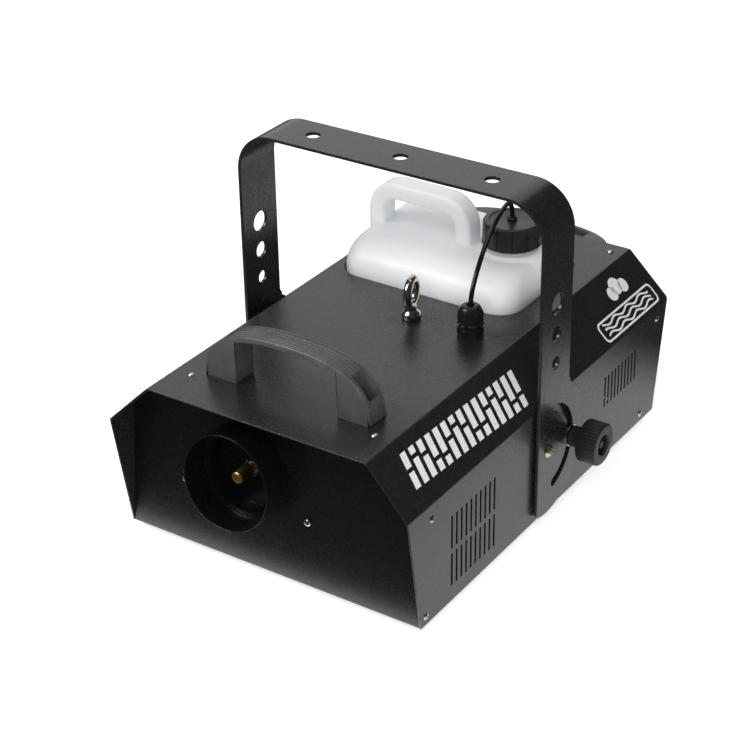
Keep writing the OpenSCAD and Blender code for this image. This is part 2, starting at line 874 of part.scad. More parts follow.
// Outline of the tank at a height: a round-cornered rectangle drawn in at the front and elsewhere
function tank_ring(z, front_in, in, r) =
    let (x0 = tank_x0 + in, x1 = tank_x0 + tank_w - in,
         y0 = tank_y0 + front_in, y1 = tank_y0 + tank_d - in,
         centres = [[x1 - r, y1 - r], [x0 + r, y1 - r], [x0 + r, y0 + r], [x1 - r, y0 + r]])
    [for (c = [0 : 3], k = [0 : tank_corner_steps])
        let (a = 90 * (c + k / tank_corner_steps))
        [centres[c][0] + r * cos(a), centres[c][1] + r * sin(a), z]];

// Closed tank shape, drawn in all round by a wall thickness: a round lower edge,
// straight walls, and an elliptical shoulder that is longer at the front
module tank_solid(wall) {
    steps = 8;
    rise = tank_top - tank_shoulder_z;
    foot = tank_foot_r;
    lower = [for (i = [0 : 3]) let (a = 30 * i)
        tank_ring(tank_floor + wall + foot * (1 - cos(a)), wall + foot * (1 - sin(a)),
            wall + foot * (1 - sin(a)), tank_corner - wall)];
    upper = [for (i = [0 : steps]) let (a = 90 * i / steps)
        tank_ring(tank_shoulder_z - wall + rise * sin(a), wall + tank_front_in * (1 - cos(a)),
            wall + tank_side_in * (1 - cos(a)), tank_corner - wall)];
    stacked_rings(concat(lower, upper));
}

// Closed solid through rings of equal length, lowest first
module stacked_rings(rings) {
    n = len(rings[0]);
    top = (len(rings) - 1) * n;
    walls = [for (i = [0 : len(rings) - 2], k = [0 : n - 1])
        [i * n + k, (i + 1) * n + k, (i + 1) * n + (k + 1) % n, i * n + (k + 1) % n]];
    polyhedron(
        points = [for (ring_points = rings, p = ring_points) p],
        faces = concat(walls, [[for (k = [0 : n - 1]) k], [for (k = [n - 1 : -1 : 0]) top + k]]),
        convexity = 4
    );
}

// Front view of the tank's carrying bow
module tank_bow() {
    w = tank_handle_x[1] - tank_handle_x[0];
    r = 26;
    difference() {
        union() {
            square([w, tank_handle_h - r]);
            translate([r, 0]) square([w - 2 * r, tank_handle_h]);
            for (x = [r, w - r]) translate([x, tank_handle_h - r]) circle(r);
        }
        tank_bow_opening(w);
    }
}

module tank_bow_opening(w) {
    r = 14;
    h = tank_handle_h - tank_handle_bar;
    translate([tank_handle_post, -1]) square([w - 2 * tank_handle_post, h - r + 1]);
    translate([tank_handle_post + r, -1]) square([w - 2 * (tank_handle_post + r), h + 1]);
    for (x = [tank_handle_post + r, w - tank_handle_post - r]) translate([x, h - r]) circle(r);
}

module tank() {
    bow_base = body_h;
    color(milky) raised() difference() {
        union() {
            tank_solid(0);
            translate([tank_handle_x[0], tank_handle_y[1], bow_base]) rotate([90, 0, 0])
                linear_extrude(tank_handle_y[1] - tank_handle_y[0]) tank_bow();
            translate([neck_at[0], neck_at[1], tank_top - 6]) {
                cylinder(r = neck_r + 3.5, h = 9);
                cylinder(r = neck_r, h = neck_top - tank_top + 6);
            }
        }
        tank_solid(tank_wall);
        translate([neck_at[0], neck_at[1], tank_top - 10])
            cylinder(r = neck_r - tank_wall, h = 50);
    }
}

module at_neck(z) {
    raised() translate([neck_at[0], neck_at[1], z]) children();
}

module tank_cap() {
    cap_r = cap_d / 2;
    color(black_plastic) at_neck(cap_top - cap_h) difference() {
        union() {
            cylinder(r = cap_r, h = cap_h - 1);
            translate([0, 0, cap_h - 1]) cylinder(r1 = cap_r, r2 = cap_r - 1, h = 1);
        }
        for (k = [0 : cap_ribs - 1]) rotate([0, 0, k * 360 / cap_ribs])
            translate([cap_r + 1.4, 0, -1]) cylinder(r = 2, h = cap_h - 1);
        translate([0, 0, -1]) cylinder(r = neck_r + 0.3, h = cap_h - 1);
        cylinder(r = 4, h = cap_h + 1);
    }
}

module cap_seal() {
    seal_gap = 0.1;
    color(rubber) at_neck(neck_top + seal_gap)
        ring(neck_r - 0.2, 4, cap_top - 2 - neck_top - seal_gap);
}

module hose_boot() {
    color(rubber) at_neck(cap_top) {
        translate([0, 0, 0.2]) cylinder(r = 5, h = 1.4);
        translate([0, 0, 1.5]) cylinder(r1 = 3.6, r2 = 2.8, h = boot_h - 1.5);
        translate([0, 0, -6]) cylinder(r = 3.7, h = 6.4);
    }
}

module pickup_tube() {
    color(black_plastic) at_neck(tank_floor + 18) cylinder(r = hose_r, h = cap_top - 24 - tank_floor);
}

module suction_filter() {
    color(steel) at_neck(tank_floor + tank_wall + 3) difference() {
        union() {
            cylinder(r = 7, h = 13);
            translate([0, 0, 13]) cylinder(r1 = 7, r2 = 3, h = 4);
        }
        translate([0, 0, 10]) cylinder(r = hose_r, h = 8);
        for (z = [2 : 2.4 : 10]) translate([0, 0, z]) ring(8, 6.3, 1.2);
    }
}

// ---------- feet ----------

module feet() {
    color(rubber) for (p = feet_at) translate([p[0], p[1] + case_y, 0]) difference() {
        union() {
            cylinder(r1 = foot_r - 1.5, r2 = foot_r, h = 2);
            translate([0, 0, 2]) cylinder(r = foot_r, h = foot_h - 2);
        }
        translate([0, 0, -1]) cylinder(r = 5, h = 3.5);
        cylinder(r = foot_hole_r, h = foot_h + 1);
    }
}

module foot_screws() {
    color(nickel) for (p = feet_at) translate([p[0], p[1] + case_y, 2.5]) mirror([0, 0, 1])
        pan_screw(foot_screw_r, foot_h + 3, 4, 2);
}

// ---------- rear panel fittings ----------

// Place on the rear panel's outer face, in the panel's own frame
module at_rear_unit(v) {
    raised() on_rear_panel() translate([-rear_unit_x, v, 0]) children();
}

module switch_frame() {
    color(black_plastic) at_rear_unit(switch_v) difference() {
        union() {
            translate([-12.5, -7.5, 0]) cube([25, 15, 1.8]);
            translate([-11, -6.5, -16]) cube([22, 13, 16.5]);
        }
        translate([-9.6, -5, -7]) cube([19.2, 10, 12]);
    }
}

module switch_rocker() {
    color([0.6, 0.08, 0.06]) at_rear_unit(switch_v) translate([0, 0, rocker_pivot_z]) rotate([0, rocker_tilt, 0])
        rotate([90, 0, 0]) linear_extrude(9.4, center = true)
            polygon([[-8.6, 3.5], [0, 2.3], [8.6, 3.5], [7.6, -2.4], [0, -3.6], [-7.6, -2.4]]);
}

module mains_inlet() {
    color(black_plastic) at_rear_unit(inlet_v) difference() {
        union() {
            linear_extrude(3) rounded_rect(31, 24, 3);
            translate([-13.7, -10, -17]) cube([27.4, 20, 17.5]);
        }
        translate([0, 0, -14]) linear_extrude(20) rounded_rect(24.4, 16.6, 2.5);
        pin_blades();
    }
}

// The three blades of the inlet, earth at the top
module pin_blades() {
    for (p = [[0, 2], [-7, -2], [7, -2]])
        translate([p[0] - 1, p[1] - 2, -20]) cube([2, 4, 19]);
}

module inlet_pins() {
    color(nickel) at_rear_unit(inlet_v) pin_blades();
}

module fuse_holder() {
    color(black_plastic) at_rear_unit(fuse_v) difference() {
        union() {
            cylinder(r = 8, h = 2);
            translate([0, 0, -20]) cylinder(r = 6.2, h = 20.5);
        }
        translate([0, 0, -17]) cylinder(r = 4.8, h = 25);
    }
}

module fuse_cap() {
    color(black_plastic) at_rear_unit(fuse_v) difference() {
        union() {
            translate([0, 0, 2.1]) cylinder(r = 6.5, h = 6);
            translate([0, 0, -12]) cylinder(r = 4.7, h = 14.2);
        }
        translate([-5, -0.7, 6.6]) cube([10, 1.4, 3]);
    }
}

module remote_socket() {
    color(steel) raised() on_rear_panel() translate([remote_x, remote_v, 0]) difference() {
        union() {
            cylinder(r = remote_r + 2, h = 2);
            translate([0, 0, -14]) cylinder(r = remote_r, h = 20);
        }
        translate([0, 0, -8]) cylinder(r = 6.6, h = 20);
    }
}

// ---------- heater ----------

// Box centred on the heater's line, with its front at the heater's front
module heater_box(grow, length) {
    translate([heater_x - heater_size[0] / 2 - grow, heater_y0, nozzle_z - heater_size[2] / 2 - grow])
        cube([heater_size[0] + 2 * grow, length, heater_size[2] + 2 * grow]);
}

// Sleeve round the heater, open at both ends
module heater_sleeve(inner, outer, length) {
    difference() {
        heater_box(outer, length);
        translate([0, -1, 0]) heater_box(inner, length + 2);
    }
}

module heater_block() {
    color(aluminium) raised() difference() {
        heater_box(0, heater_size[1]);
        for (s = [-1, 1]) translate([heater_x + s * 22, heater_y0 + 10, nozzle_z]) rotate([-90, 0, 0])
            cylinder(r = 6, h = heater_size[1]);
        translate([heater_x, heater_y0 + 20, nozzle_z]) rotate([90, 0, 0]) cylinder(r = 2.5, h = 30);
    }
}

module heater_wrap() {
    color([0.85, 0.83, 0.78]) raised() translate([0, 4, 0]) difference() {
        heater_sleeve(0, wrap_t, heater_size[1] - 8);
        translate([0, -6, nozzle_z + 6]) cube([40, 14, 12]);
    }
}

module heater_shroud() {
    color(steel) raised() translate([0, 4, 0]) difference() {
        heater_sleeve(wrap_t, wrap_t + shroud_t, heater_size[1] - 8);
        translate([0, -6, nozzle_z + 6]) cube([40, 14, 12]);
    }
}

module heater_elements() {
    color(nickel) raised() for (s = [-1, 1])
        translate([heater_x + s * 22, heater_y0 + 11, nozzle_z]) rotate([-90, 0, 0]) {
            cylinder(r = 5.95, h = heater_size[1] - 6);
            translate([0, 0, heater_size[1] - 7]) cylinder(r = 2, h = 10);
        }
}

module thermostats() {
    color(nickel) raised() for (s = [-1, 1])
        translate([heater_x + s * 7, heater_y0 + heater_size[1], nozzle_z + 11 * s]) rotate([-90, 0, 0]) {
            cylinder(r = 6.4, h = 4);
            cylinder(r = 4, h = 9);
        }
}

module heater_legs() {
    leg_top = nozzle_z - heater_size[2] / 2 - wrap_t - shroud_t;
    color(steel) raised() for (y = [-125, -40]) {
        translate([heater_x - 42, y, leg_top - 1.5]) cube([84, 14, 1.5]);
        for (x = [-42, 40.5]) translate([heater_x + x, y, sheet_t]) cube([1.5, 14, leg_top - sheet_t - 1]);
        for (x = [-54, 40.5]) translate([heater_x + x, y, sheet_t]) cube([13.5, 14, 1.5]);
    }
}

// ---------- pump ----------

module pump_body() {
    color([0.9, 0.9, 0.86]) raised() translate(pump_at) rotate([90, 0, 0]) difference() {
        union() {
            translate([0, 0, -38]) cylinder(r = 3, h = 10);
            translate([0, 0, -29]) cylinder(r = 9, h = 58);
            translate([0, 0, 28]) cylinder(r = 7.5, h = 8, $fn = 6);
            translate([0, 0, 35]) cylinder(r = 3, h = 8);
        }
        translate([0, 0, -50]) cylinder(r = 1.5, h = 110);
        translate([0, 0, -plunger_room / 2]) cylinder(r = plunger_r + run_gap, h = plunger_room);
    }
}

module pump_plunger() {
    color(steel) raised() translate(pump_at) rotate([90, 0, 0]) difference() {
        cylinder(r = plunger_r, h = plunger_len, center = true);
        cylinder(r = 1.2, h = plunger_len + 2, center = true);
    }
}

module pump_coil() {
    color([0.15, 0.15, 0.2]) raised() translate(pump_at) {
        difference() {
            translate([-19, -19, -17]) cube([38, 38, 34]);
            rotate([90, 0, 0]) cylinder(r = 9, h = 80, center = true);
        }
    }
}

module pump_bracket() {
    color(steel) raised() translate([pump_at[0], pump_at[1], 0]) difference() {
        union() {
            for (y = [-20.6, 19.1]) translate([-16, y, sheet_t]) cube([32, 1.5, pump_at[2] + 12]);
            translate([-16, -32, sheet_t]) cube([32, 64, 1.5]);
        }
        translate([0, 50, pump_at[2]]) rotate([90, 0, 0]) cylinder(r = 9.1, h = 100);
    }
}

// ---------- electronics ----------

module control_board() {
    color([0.1, 0.35, 0.15]) raised() translate(board_at) difference() {
        translate([-board_size[0] / 2, -board_size[1] / 2, 0]) cube(board_size);
        for (sx = [-1, 1], sy = [-1, 1])
            translate([sx * (board_size[0] / 2 - 4), sy * (board_size[1] / 2 - 4), -1])
                cylinder(r = 1.6, h = 5);
    }
}

module board_parts() {
    color([0.15, 0.3, 0.6]) raised() translate([board_at[0], board_at[1], board_at[2] + board_size[2]]) {
        translate([-14, -40, 0]) cube([28, 32, 26]);
        translate([-16, 4, 0]) cube([15, 19, 16]);
        translate([2, 4, 0]) cube([15, 19, 16]);
        translate([-14, 30, 0]) cube([28, 10, 11]);
        for (x = [-8, 8]) translate([x, -3, 0]) cylinder(r = 4, h = 14);
    }
}

module board_standoffs() {
    color(brass) raised() translate([board_at[0], board_at[1], sheet_t])
        for (sx = [-1, 1], sy = [-1, 1])
            translate([sx * (board_size[0] / 2 - 4), sy * (board_size[1] / 2 - 4), 0]) {
                cylinder(r = 3, h = board_at[2] - sheet_t, $fn = 6);
                cylinder(r = 1.5, h = board_at[2] - sheet_t + board_size[2] + 1.5);
            }
}

top_cover();
base_pan();
front_panel();
rear_panel();
tank_well();
nozzle_guard();
nozzle_cup();
nozzle();
nozzle_nut();
outlet_pipe();
front_handle();
rear_handle();
handle_screws();
cover_screws();
panel_screws();
bracket();
pivot_screws();
spacers();
side_inserts();
right_knob();
right_stud();
left_knob();
left_stud();
eye_bolt();
eye_bolt_nut();
gland_body();
gland_dome_nut();
gland_seal();
gland_locknut();
suction_hose();
pump_hose();
tank();
tank_cap();
cap_seal();
hose_boot();
pickup_tube();
suction_filter();
feet();
foot_screws();
switch_frame();
switch_rocker();
mains_inlet();
inlet_pins();
fuse_holder();
fuse_cap();
remote_socket();
heater_block();
heater_wrap();
heater_shroud();
heater_elements();
heater_legs();
thermostats();
pump_body();
pump_plunger();
pump_coil();
pump_bracket();
feed_tube();
control_board();
board_parts();
board_standoffs();
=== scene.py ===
"""Looks of the fog machine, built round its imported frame.

Lengths are in metres. Numbers that are multiplied by MM, and the profiles given to lathe(), are in millimetres.
"""

import json
import math

import bmesh
import bpy
from mathutils import Matrix, Vector


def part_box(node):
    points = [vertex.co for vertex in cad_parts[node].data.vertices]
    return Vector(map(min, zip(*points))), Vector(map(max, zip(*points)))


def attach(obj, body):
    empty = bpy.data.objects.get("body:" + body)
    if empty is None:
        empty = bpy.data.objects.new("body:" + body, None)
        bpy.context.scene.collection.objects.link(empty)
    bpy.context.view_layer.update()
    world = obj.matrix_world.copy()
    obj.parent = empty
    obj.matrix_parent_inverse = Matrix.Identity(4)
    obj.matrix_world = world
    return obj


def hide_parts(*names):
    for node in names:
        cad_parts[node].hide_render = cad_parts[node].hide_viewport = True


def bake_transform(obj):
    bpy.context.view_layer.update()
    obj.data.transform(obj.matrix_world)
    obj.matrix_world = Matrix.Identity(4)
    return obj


MM = 0.001
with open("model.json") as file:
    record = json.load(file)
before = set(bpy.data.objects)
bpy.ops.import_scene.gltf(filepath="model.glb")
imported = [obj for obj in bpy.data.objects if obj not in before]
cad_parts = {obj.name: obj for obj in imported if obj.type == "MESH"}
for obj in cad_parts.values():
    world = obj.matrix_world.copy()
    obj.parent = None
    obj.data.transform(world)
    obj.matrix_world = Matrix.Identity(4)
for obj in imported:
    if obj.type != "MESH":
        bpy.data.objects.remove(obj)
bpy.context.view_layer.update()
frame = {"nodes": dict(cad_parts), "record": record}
node_slot = {s["node"]: s["material_slot"] for s in frame["record"]["subparts"]}
node_body = {n: b for b, nodes in frame["record"]["behaviour"]["bodies"].items() for n in nodes}
# The case's middle: the origin lies further back, under the middle of the whole machine
CASE_Y = sum(corner.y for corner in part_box("top_cover")) / 2


# ---------- camera ----------

CAMERA_AT = Vector((0.7833, -1.2053 + CASE_Y, 0.9102))
AZIMUTH, ELEVATION, ROLL = map(math.radians, (33.95, 29.62, -0.92))
CAMERA_LENS_MM, CAMERA_SENSOR_MM = 94.77, 36


def make_camera():
    level = math.cos(ELEVATION)
    back = Vector((math.sin(AZIMUTH) * level, -math.cos(AZIMUTH) * level, math.sin(ELEVATION)))
    right = (-back).cross(Vector((0, 0, 1))).normalized()
    up = right.cross(-back)
    right, up = (right * math.cos(ROLL) + up * math.sin(ROLL),
                 up * math.cos(ROLL) - right * math.sin(ROLL))
    camera = bpy.data.objects.new("camera", bpy.data.cameras.new("camera"))
    camera.data.lens = CAMERA_LENS_MM
    camera.data.sensor_width = CAMERA_SENSOR_MM
    camera.matrix_world = Matrix.Translation(CAMERA_AT) @ Matrix((right, up, back)).transposed().to_4x4()
    bpy.context.scene.collection.objects.link(camera)
    bpy.context.scene.camera = camera


make_camera()


# ---------- mesh helpers ----------

def shade(mesh, angle=30):
    mesh.shade_smooth()
    mesh.set_sharp_from_angle(angle=math.radians(angle))


def new_object(name, mesh, smooth=30):
    obj = bpy.data.objects.new(name, mesh)
    bpy.context.scene.collection.objects.link(obj)
    shade(mesh, smooth)
    return obj


def from_bmesh(name, bm, smooth=30):
    bmesh.ops.recalc_face_normals(bm, faces=bm.faces)
    mesh = bpy.data.meshes.new(name)
    bm.to_mesh(mesh)
    bm.free()
    return new_object(name, mesh, smooth)


MERGE, SLIVER = 1e-6, 1e-7


def build(name, verts, faces, smooth=30):
    bm = bmesh.new()
    made = [bm.verts.new(v) for v in verts]
    for f in faces:
        corners = [made[i] for i in f]
        if len(set(corners)) > 2:
            bm.faces.new(corners)
    bmesh.ops.remove_doubles(bm, verts=bm.verts, dist=MERGE)
    bmesh.ops.dissolve_degenerate(bm, edges=bm.edges, dist=SLIVER)
    return from_bmesh(name, bm, smooth)


def loft(loops, closed=False, caps=True):
    """Faces between equal loops of points; each loop is closed on itself."""
    n, count = len(loops[0]), len(loops)
    verts = [p for loop in loops for p in loop]
    faces = []
    for i in range(count if closed else count - 1):
        this, following = i * n, (i + 1) % count * n
        faces += [(this + k, this + (k + 1) % n, following + (k + 1) % n, following + k) for k in range(n)]
    if caps and not closed:
        faces += [tuple(range(n)), tuple(range((count - 1) * n, count * n))]
    return verts, faces


def placement(at, axis):
    return Matrix.Translation(at) @ Vector(axis).to_track_quat("Z", "Y").to_matrix().to_4x4()


def lathe(name, profile, at, axis=(0, 0, 1), steps=64, shape=None, ring=False, smooth=30):
    """Turned solid from (radius, height) pairs in mm; shape(angle, radius, height) may change a radius."""
    place = placement(at, axis)
    loops = []
    for r, h in profile:
        loop = []
        for k in range(steps):
            a = math.tau * k / steps
            rr = shape(a, r, h) if shape and r else r
            loop.append(place @ (Vector((rr * math.cos(a), rr * math.sin(a), h)) * MM))
        loops.append(loop)
    return build(name, *loft(loops, closed=ring, caps=not ring), smooth=smooth)


def rounded(profile, radius, steps=3):
    """The profile with its inner points rounded off."""
    out = [profile[0]]
    for a, b, c in zip(profile, profile[1:], profile[2:]):
        a, b, c = Vector(a), Vector(b), Vector(c)
        r = min(radius, (a - b).length * 0.45, (c - b).length * 0.45)
        start, end = b + (a - b).normalized() * r, b + (c - b).normalized() * r
        for i in range(steps + 1):
            t = i / steps
            out.append(tuple(start * (1 - t) ** 2 + b * 2 * t * (1 - t) + end * t * t))
    return out + [profile[-1]]


def frames(points, across):
    """Side and upward direction at each point of a route, with no twist."""
    side = Vector(across)
    out = []
    for i in range(len(points)):
        t = (points[min(i + 1, len(points) - 1)] - points[max(i - 1, 0)]).normalized()
        side = (side - t * side.dot(t)).normalized()
        out.append((side, t.cross(side)))
    return out


def sweep(name, points, section, across, smooth=30):
    """A section, as (side, up) pairs, carried along a route of points."""
    carried = zip(points, frames(points, across))
    loops = [[p + side * u + up * v for u, v in section] for p, (side, up) in carried]
    return build(name, *loft(loops), smooth=smooth)


def circle(radius, steps):
    angles = [math.tau * k / steps for k in range(steps)]
    return [(radius * math.cos(a), radius * math.sin(a)) for a in angles]


def in_metres(outline):
    return [(x * MM, y * MM) for x, y in outline]


def rounded_rectangle(w, d, r, steps=4):
    """Corner-rounded rectangle round zero, anticlockwise."""
    out = []
    for quarter, (sx, sy) in enumerate(((1, 1), (-1, 1), (-1, -1), (1, -1))):
        for k in range(steps + 1):
            a = math.pi / 2 * (quarter + k / steps)
            out.append((sx * (w / 2 - r) + r * math.cos(a), sy * (d / 2 - r) + r * math.sin(a)))
    return out


def prism(name, outline, place, height):
    """An outline, as pairs in the placement's own X and Y, raised along its Z."""
    loops = [[place @ Vector((x, y, z)) for x, y in outline] for z in (0, height)]
    return build(name, *loft(loops))


def applied(obj):
    """Turns an object's modifiers into its mesh."""
    mesh = bpy.data.meshes.new_from_object(obj.evaluated_get(bpy.context.evaluated_depsgraph_get()))
    obj.modifiers.clear()
    obj.data = mesh
    return obj


def join(name, *parts):
    bm = bmesh.new()
    for part in parts:
        bm.from_mesh(part.data)
        bpy.data.objects.remove(part)
    return from_bmesh(name, bm)


def remeshed(obj, voxel, smoothing):
    """One skin over overlapping pieces, with soft fillets where they meet."""
    remesh = obj.modifiers.new("remesh", "REMESH")
    remesh.mode = "VOXEL"
    remesh.voxel_size = voxel
    soften = obj.modifiers.new("soften", "SMOOTH")
    soften.factor = 0.5
    soften.iterations = smoothing
    applied(obj)
    shade(obj.data, 60)
    return obj


def cut(obj, tool):
    boolean = obj.modifiers.new("cut", "BOOLEAN")
    boolean.operation = "DIFFERENCE"
    boolean.solver = "EXACT"
    boolean.object = tool
    applied(obj)
    bpy.data.objects.remove(tool)
    shade(obj.data)
    return obj


# ---------- materials ----------

class Surface:
    """A procedural material: each method adds detail to one Principled shader."""

    def __init__(self, name, color, roughness, metallic=0.0, ior=1.5, **sockets):
        self.material = bpy.data.materials.new(name)
        self.material.use_nodes = True
        self.tree = self.material.node_tree
        self.shader = self.tree.nodes["Principled BSDF"]
        self.color, self.roughness = color, roughness
        self.coord = self.tree.nodes.new("ShaderNodeTexCoord").outputs["Object"]
        basic = {"Base Color": (*color, 1), "Roughness": roughness, "Metallic": metallic, "IOR": ior}
        for key, value in {**basic, **sockets}.items():
            self.shader.inputs[key].default_value = value
        self.bumps = None

    def node(self, kind, **inputs):
        made = self.tree.nodes.new(kind)
        for key, value in inputs.items():
            made.inputs[key.replace("_", " ")].default_value = value
        return made

    def link(self, a, b):
        self.tree.links.new(a, b)

    def noise(self, scale, detail=3.0, stretch=(1, 1, 1)):
        mapping = self.node("ShaderNodeMapping", Scale=stretch)
        self.link(self.coord, mapping.inputs["Vector"])
        noise = self.node("ShaderNodeTexNoise", Scale=scale, Detail=detail)
        self.link(mapping.outputs["Vector"], noise.inputs["Vector"])
        return noise.outputs["Fac"]

    def mottle(self, scale, amount, stretch=(1, 1, 1), tint=(1, 1, 1)):
        """Colour that drifts darker and lighter round the base colour."""
        ramp = self.tree.nodes.new("ShaderNodeValToRGB")
        low, high = ramp.color_ramp.elements
        low.position, high.position = 0.32, 0.68
        low.color = (*[c * (1 - amount) for c in self.color], 1)
        high.color = (*[min(1, c * (1 + amount) * t) for c, t in zip(self.color, tint)], 1)
        self.link(self.noise(scale, stretch=stretch), ramp.inputs["Fac"])
        self.link(ramp.outputs["Color"], self.shader.inputs["Base Color"])
        return self

    def polish(self, scale, spread, stretch=(1, 1, 1)):
        """Roughness that varies over the surface."""
        spans = self.node("ShaderNodeMapRange", From_Min=0.3, From_Max=0.7, To_Min=self.roughness - spread,
                          To_Max=self.roughness + spread)
        self.link(self.noise(scale, stretch=stretch), spans.inputs["Value"])
        self.link(spans.outputs["Result"], self.shader.inputs["Roughness"])
        return self

    def soft_edges(self, radius):
        """Shading that rounds the sharp edges, so that they catch the light."""
        self.bumps = self.node("ShaderNodeBevel", Radius=radius).outputs["Normal"]
        self.link(self.bumps, self.shader.inputs["Normal"])
        return self

    def bump(self, scale, depth, stretch=(1, 1, 1)):
        """Relief of a given depth in metres."""
        bump = self.node("ShaderNodeBump", Distance=depth, Strength=1.0)
        self.link(self.noise(scale, 2.0, stretch), bump.inputs["Height"])
        if self.bumps:
            self.link(self.bumps, bump.inputs["Normal"])
        self.bumps = bump.outputs["Normal"]
        self.link(self.bumps, self.shader.inputs["Normal"])
        return self


def powder(name, color, roughness, ior, peel):
    """Powder coat: fine orange peel over a slow unevenness."""
    return (Surface(name, color, roughness, ior=ior)
            .mottle(240, 0.18).polish(420, 0.05).soft_edges(0.0007).bump(650, peel).bump(60, 0.00012))


def moulded(name, color, roughness, grain=0.00002):
    """Moulded plastic with a fine grain."""
    return (Surface(name, color, roughness, ior=1.47)
            .mottle(90, 0.14).polish(160, 0.06).soft_edges(0.0005).bump(1500, grain))


def plated(name, color, roughness, stretch=(1, 1, 1)):
    """Bare or plated metal with fine scratches, drawn out along the stretch."""
    return (Surface(name, color, roughness, metallic=1.0)
            .mottle(180, 0.08, stretch).polish(700, 0.07, stretch).bump(900, 0.000015, stretch=stretch))


BRUSHED = (1, 1, 14)
SURFACES = {
    "case_paint": powder("case_paint", (0.012, 0.012, 0.012), 0.30, 1.62, 0.00005),
    # front_paint is the case's black powder coat with a darker base colour than case_paint: painted shade for
    # the front panel, which gets little light
    "front_paint": powder("front_paint", (0.0035, 0.0035, 0.004), 0.30, 1.50, 0.00005),
    "bracket_paint": powder("bracket_paint", (0.012, 0.012, 0.012), 0.26, 1.62, 0.00003),
    "handle_plastic": moulded("handle_plastic", (0.070, 0.070, 0.071), 0.34, 0.00003),
    "knob_plastic": moulded("knob_plastic", (0.014, 0.014, 0.014), 0.46, 0.00003),
    "gland_nylon": moulded("gland_nylon", (0.010, 0.010, 0.011), 0.26),
    "cap_plastic": moulded("cap_plastic", (0.022, 0.022, 0.023), 0.32, 0.00004),
    "fitting_plastic": moulded("fitting_plastic", (0.016, 0.016, 0.017), 0.35),
    "black_rubber": moulded("black_rubber", (0.012, 0.012, 0.012), 0.62, 0.00005),
    "hose_black": moulded("hose_black", (0.006, 0.006, 0.007), 0.16, 0.000006),
    "pump_plastic": moulded("pump_plastic", (0.62, 0.61, 0.56), 0.42),
    "coil_plastic": moulded("coil_plastic", (0.02, 0.02, 0.035), 0.40),
    "parts_plastic": moulded("parts_plastic", (0.04, 0.10, 0.28), 0.40),
    "board_green": moulded("board_green", (0.02, 0.10, 0.04), 0.30),
    "rocker_red": moulded("rocker_red", (0.42, 0.012, 0.010), 0.22),
    "screw_nickel": plated("screw_nickel", (0.62, 0.60, 0.56), 0.24),
    "pivot_nickel": plated("pivot_nickel", (0.70, 0.62, 0.45), 0.24),
    "eye_steel": plated("eye_steel", (0.60, 0.57, 0.52), 0.16),
    "zinc_steel": plated("zinc_steel", (0.52, 0.53, 0.55), 0.34, BRUSHED),
    "contact_nickel": plated("contact_nickel", (0.60, 0.60, 0.58), 0.25),
    "nozzle_brass": plated("nozzle_brass", (0.90, 0.66, 0.24), 0.42),
    "copper_tube": plated("copper_tube", (0.75, 0.38, 0.24), 0.28),
    "heater_aluminium": plated("heater_aluminium", (0.72, 0.72, 0.74), 0.40, BRUSHED),
    "insulation": Surface("insulation", (0.70, 0.67, 0.58), 0.9).mottle(300, 0.2).bump(500, 0.0004),
    "tank_plastic": Surface("tank_plastic", (0.92, 0.93, 0.94), 0.34, ior=1.46, **{
        "Subsurface Weight": 0.55, "Subsurface Radius": (0.010, 0.011, 0.014), "Subsurface Scale": 1.0})
        .mottle(14, 0.035, (1, 1, 0.4), (0.97, 0.99, 1.04)).polish(60, 0.05)
        .bump(30, 0.0006).bump(900, 0.00002),
    "decal_white": Surface("decal_white", (0.80, 0.80, 0.79), 0.45).mottle(300, 0.06).bump(800, 0.00002),
}


def dressed(obj, slot, body, *nodes):
    """Gives a new piece its finish, its body and the CAD nodes that it stands for."""
    obj.data.materials.clear()
    obj.data.materials.append(SURFACES[slot].material)
    if body:
        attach(obj, body)
    if nodes:
        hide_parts(*nodes)
    return obj


# ---------- hose ----------

HOSE_R = 2 * MM
# The route of the suction hose from the gland to the tank's cap, in mm from the case's middle and lower edge
HOSE_ROUTE = [
    (64, 2, 164), (63.99, 2.04, 169.4), (63.8, 2.94, 174.71), (63.38, 4.97, 179.69),
    (62.73, 8.04, 184.07), (62.06, 11.24, 187.44), (61.25, 15.09, 191.14), (60.41, 19.12, 194.64),
    (59.53, 23.3, 197.95), (58.62, 27.64, 201.04), (57.68, 32.11, 203.91), (56.72, 36.72, 206.56),
    (55.73, 41.45, 208.98), (54.71, 46.29, 211.16), (53.68, 51.22, 213.1), (52.62, 56.24, 214.79),
    (51.55, 61.34, 216.23), (50.47, 66.49, 217.42), (49.38, 71.7, 218.36), (48.28, 76.95, 219.03),
    (47.17, 82.22, 219.45), (46.07, 87.5, 219.6), (44.97, 92.72, 218.88), (43.98, 97.46, 216.53),
    (43.19, 101.23, 212.78), (42.68, 103.66, 208.01), (42.5, 104.5, 202.7),
]
FOOT_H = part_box("feet")[1].z


def spline(points, steps):
    """Catmull-Rom curve through points."""
    ends = [points[0], *points, points[-1]]
    out = []
    for a, b, c, d in zip(ends, ends[1:], ends[2:], ends[3:]):
        for s in range(steps):
            t = s / steps
            out.append((2 * b + (c - a) * t + (2 * a - 5 * b + 4 * c - d) * t * t
                        + (3 * b - a - 3 * c + d) * t ** 3) * 0.5)
    return out + [points[-1]]


def make_hose():
    route = spline([Vector(p) * MM + Vector((0, CASE_Y, FOOT_H)) for p in HOSE_ROUTE], 4)
    hose = sweep("suction_hose_tube", route, circle(HOSE_R, 20), (1, 0, 0), smooth=60)
    dressed(hose, "hose_black", None, "suction_hose")
    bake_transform(hose)


make_hose()


# ---------- sheet metal and turned parts ----------

EASE_ANGLE, FOLD_ANGLES, FOLD_LENGTH = 28, (35, 60), 0.3


